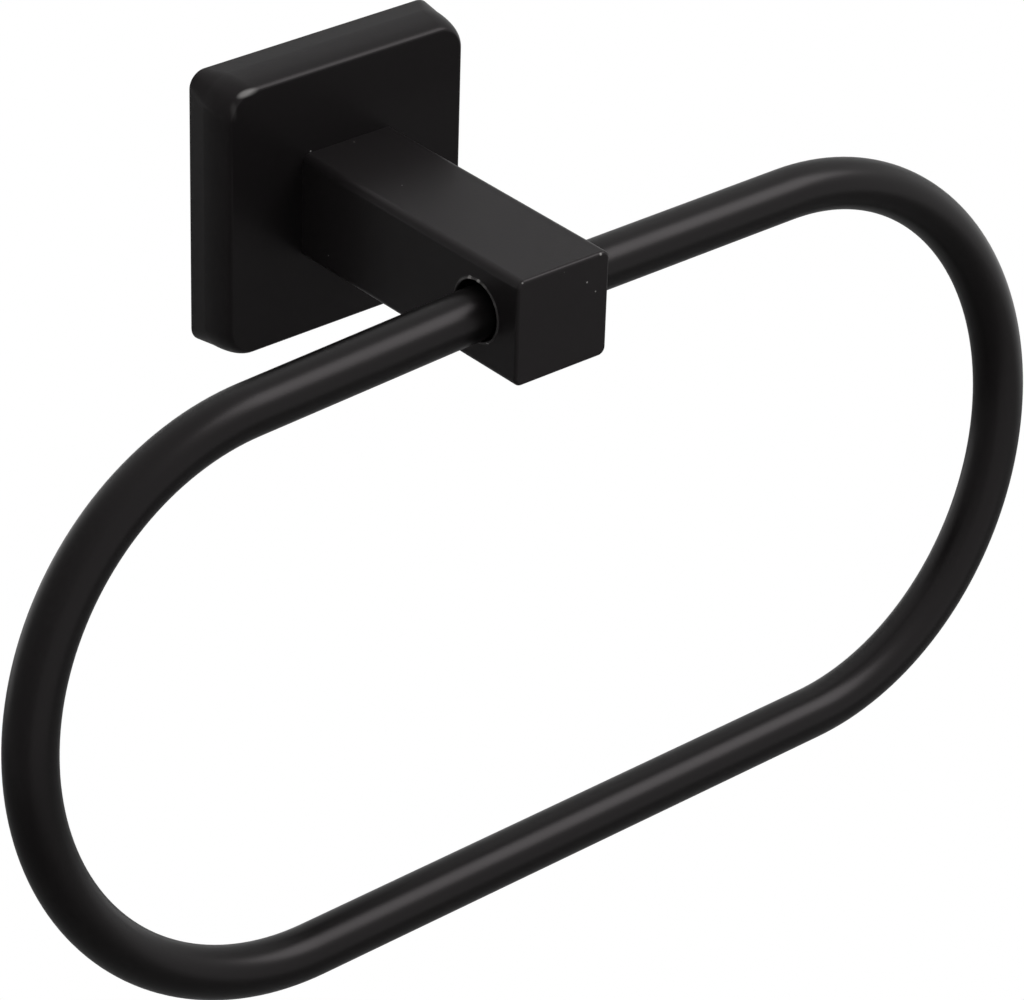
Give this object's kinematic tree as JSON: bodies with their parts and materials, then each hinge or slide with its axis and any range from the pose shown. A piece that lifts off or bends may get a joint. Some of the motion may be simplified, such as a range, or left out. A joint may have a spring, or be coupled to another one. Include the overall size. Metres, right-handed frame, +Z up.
{
  "type": "towel holder",
  "caption": "Wall-mounted towel holder: a wide hoop of round bar swings in a square post that stands on a square base.",
  "frame": {"origin": "middle of the face that lies on the wall", "axes": "+X to the right along the wall, -Y out of the wall towards the user, +Z up"},
  "size_m": [0.2313, 0.0784, 0.1366],
  "materials": {
    "satin_black": "satin black paint",
    "zinc_casting": "bare zinc casting, dull grey",
    "plated_steel": "zinc-plated steel",
    "black_steel": "blackened steel"
  },
  "bodies": {
    "mount": {"base_cover": "satin_black", "post": "satin_black", "wall_bracket": "zinc_casting", "post_screw": "plated_steel", "post_washer": "plated_steel", "locating_pin": "plated_steel", "grub_screw": "black_steel"},
    "ring": {"towel_ring": "satin_black"}
  },
  "joints": [
    {"name": "ring_swing", "type": "hinge", "parent": "mount", "child": "ring", "pos_m": [0, -0.0591, 0], "axis": [-1, 0, 0], "range_deg": [-38, 201]}
  ]
}
